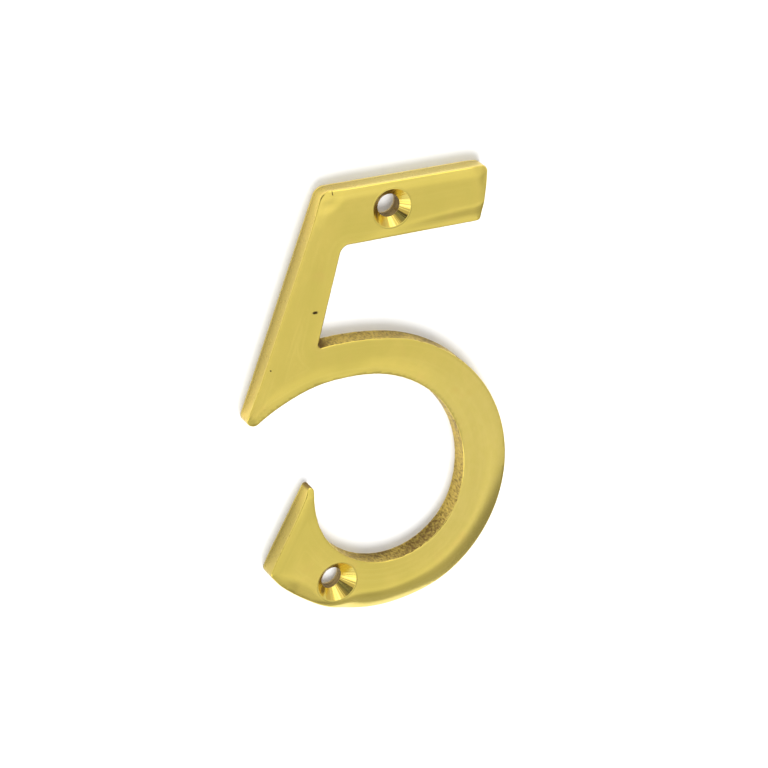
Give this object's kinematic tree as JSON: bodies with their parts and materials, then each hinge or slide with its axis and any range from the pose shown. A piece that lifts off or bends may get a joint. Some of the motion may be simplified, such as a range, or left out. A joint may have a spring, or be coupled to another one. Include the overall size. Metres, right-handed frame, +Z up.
{
  "type": "door number",
  "caption": "Polished cast brass door number in the shape of the figure five, flat on the back, with countersunk holes for wood screws.",
  "frame": {"origin": "on the flat back, midway between the axes of the two screw holes", "axes": "+Z up as it hangs on the door, +X to the right as it is read, +Y into the door, so the face looks along -Y"},
  "size_m": [0.0457, 0.0035, 0.075],
  "materials": {
    "brass": "polished face, as-cast side walls"
  },
  "bodies": {
    "root": {"door_number": "brass"}
  },
  "joints": []
}
